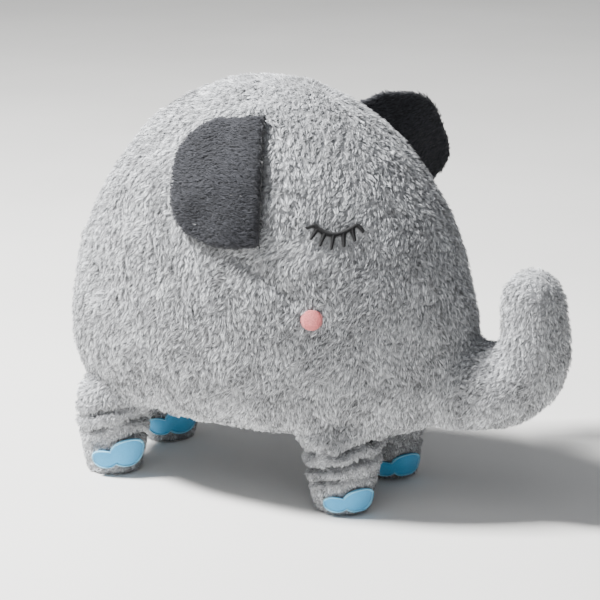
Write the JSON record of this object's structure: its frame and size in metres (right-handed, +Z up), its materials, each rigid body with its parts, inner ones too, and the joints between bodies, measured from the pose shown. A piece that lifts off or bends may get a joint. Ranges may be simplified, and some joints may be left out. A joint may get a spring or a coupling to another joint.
{
  "type": "stuffed plush elephant",
  "caption": "Large floor-standing stuffed plush elephant with upturned trunk, flap ears, closed embroidered eyes, pink cheeks and blue felt toes.",
  "frame": {"origin": "on the floor, at the middle of the overall box", "axes": "+Z up, -Y the way the elephant faces, +X its left side"},
  "size_m": [0.28, 0.484, 0.364],
  "materials": {
    "grey_plush": "short brushed light grey plush pile, combed in clumps",
    "dark_plush": "short charcoal plush pile",
    "blue_felt": "sky-blue felt with a satin-stitched rim",
    "pink_thread": "salmon-pink satin stitch",
    "black_thread": "black satin stitch",
    "filling": "loose white polyester fibre"
  },
  "bodies": {
    "body": {"body_filling": "filling", "body_panel_right": "grey_plush", "body_panel_left": "grey_plush", "belly_gusset": "grey_plush", "eye_right": "black_thread", "eye_left": "black_thread", "cheek_right": "pink_thread", "cheek_left": "pink_thread"},
    "trunk": {"trunk_filling": "filling", "trunk_panel_right": "grey_plush", "trunk_panel_left": "grey_plush"},
    "ear_right": {"ear_right_front": "dark_plush", "ear_right_back": "dark_plush"},
    "ear_left": {"ear_left_front": "dark_plush", "ear_left_back": "dark_plush"},
    "tail": {"tail": "grey_plush"},
    "leg_front_right": {"leg_filling_front_right": "filling", "leg_cover_front_right": "grey_plush", "sole_front_right": "grey_plush", "toes_front_right": "blue_felt"},
    "leg_front_left": {"leg_filling_front_left": "filling", "leg_cover_front_left": "grey_plush", "sole_front_left": "grey_plush", "toes_front_left": "blue_felt"},
    "leg_rear_right": {"leg_filling_rear_right": "filling", "leg_cover_rear_right": "grey_plush", "sole_rear_right": "grey_plush", "toes_rear_right": "blue_felt"},
    "leg_rear_left": {"leg_filling_rear_left": "filling", "leg_cover_rear_left": "grey_plush", "sole_rear_left": "grey_plush", "toes_rear_left": "blue_felt"}
  },
  "joints": [
    {"name": "trunk_flex", "type": "hinge", "parent": "body", "child": "trunk", "pos_m": [-0.02376, -0.1382, 0.11], "axis": [1, 0, 0], "range_deg": [-12, 25], "stiffness_Nm_per_rad": 2},
    {"name": "ear_right_swing", "type": "hinge", "parent": "body", "child": "ear_right", "pos_m": [-0.11533, 0.00124, 0.29027], "axis": [0.4428, 0.1662, 0.8811], "range_deg": [0, 120]},
    {"name": "ear_left_swing", "type": "hinge", "parent": "body", "child": "ear_left", "pos_m": [0.08519, 0.00124, 0.26427], "axis": [0.4428, -0.1662, -0.8811], "range_deg": [-90, 5]},
    {"name": "tail_swing", "type": "hinge", "parent": "body", "child": "tail", "pos_m": [-0.02376, 0.2244, 0.205], "axis": [1, 0, 0], "range_deg": [0, 90]},
    {"name": "leg_front_right_flex", "type": "hinge", "parent": "body", "child": "leg_front_right", "pos_m": [-0.07376, -0.0542, 0.06], "axis": [1, 0, 0], "range_deg": [-12, 12], "stiffness_Nm_per_rad": 4},
    {"name": "leg_front_left_flex", "type": "hinge", "parent": "body", "child": "leg_front_left", "pos_m": [0.02624, -0.0542, 0.06], "axis": [1, 0, 0], "range_deg": [-12, 12], "stiffness_Nm_per_rad": 4},
    {"name": "leg_rear_right_flex", "type": "hinge", "parent": "body", "child": "leg_rear_right", "pos_m": [-0.07376, 0.1748, 0.06], "axis": [1, 0, 0], "range_deg": [-12, 12], "stiffness_Nm_per_rad": 4},
    {"name": "leg_rear_left_flex", "type": "hinge", "parent": "body", "child": "leg_rear_left", "pos_m": [0.02624, 0.1748, 0.06], "axis": [1, 0, 0], "range_deg": [-12, 12], "stiffness_Nm_per_rad": 4}
  ]
}
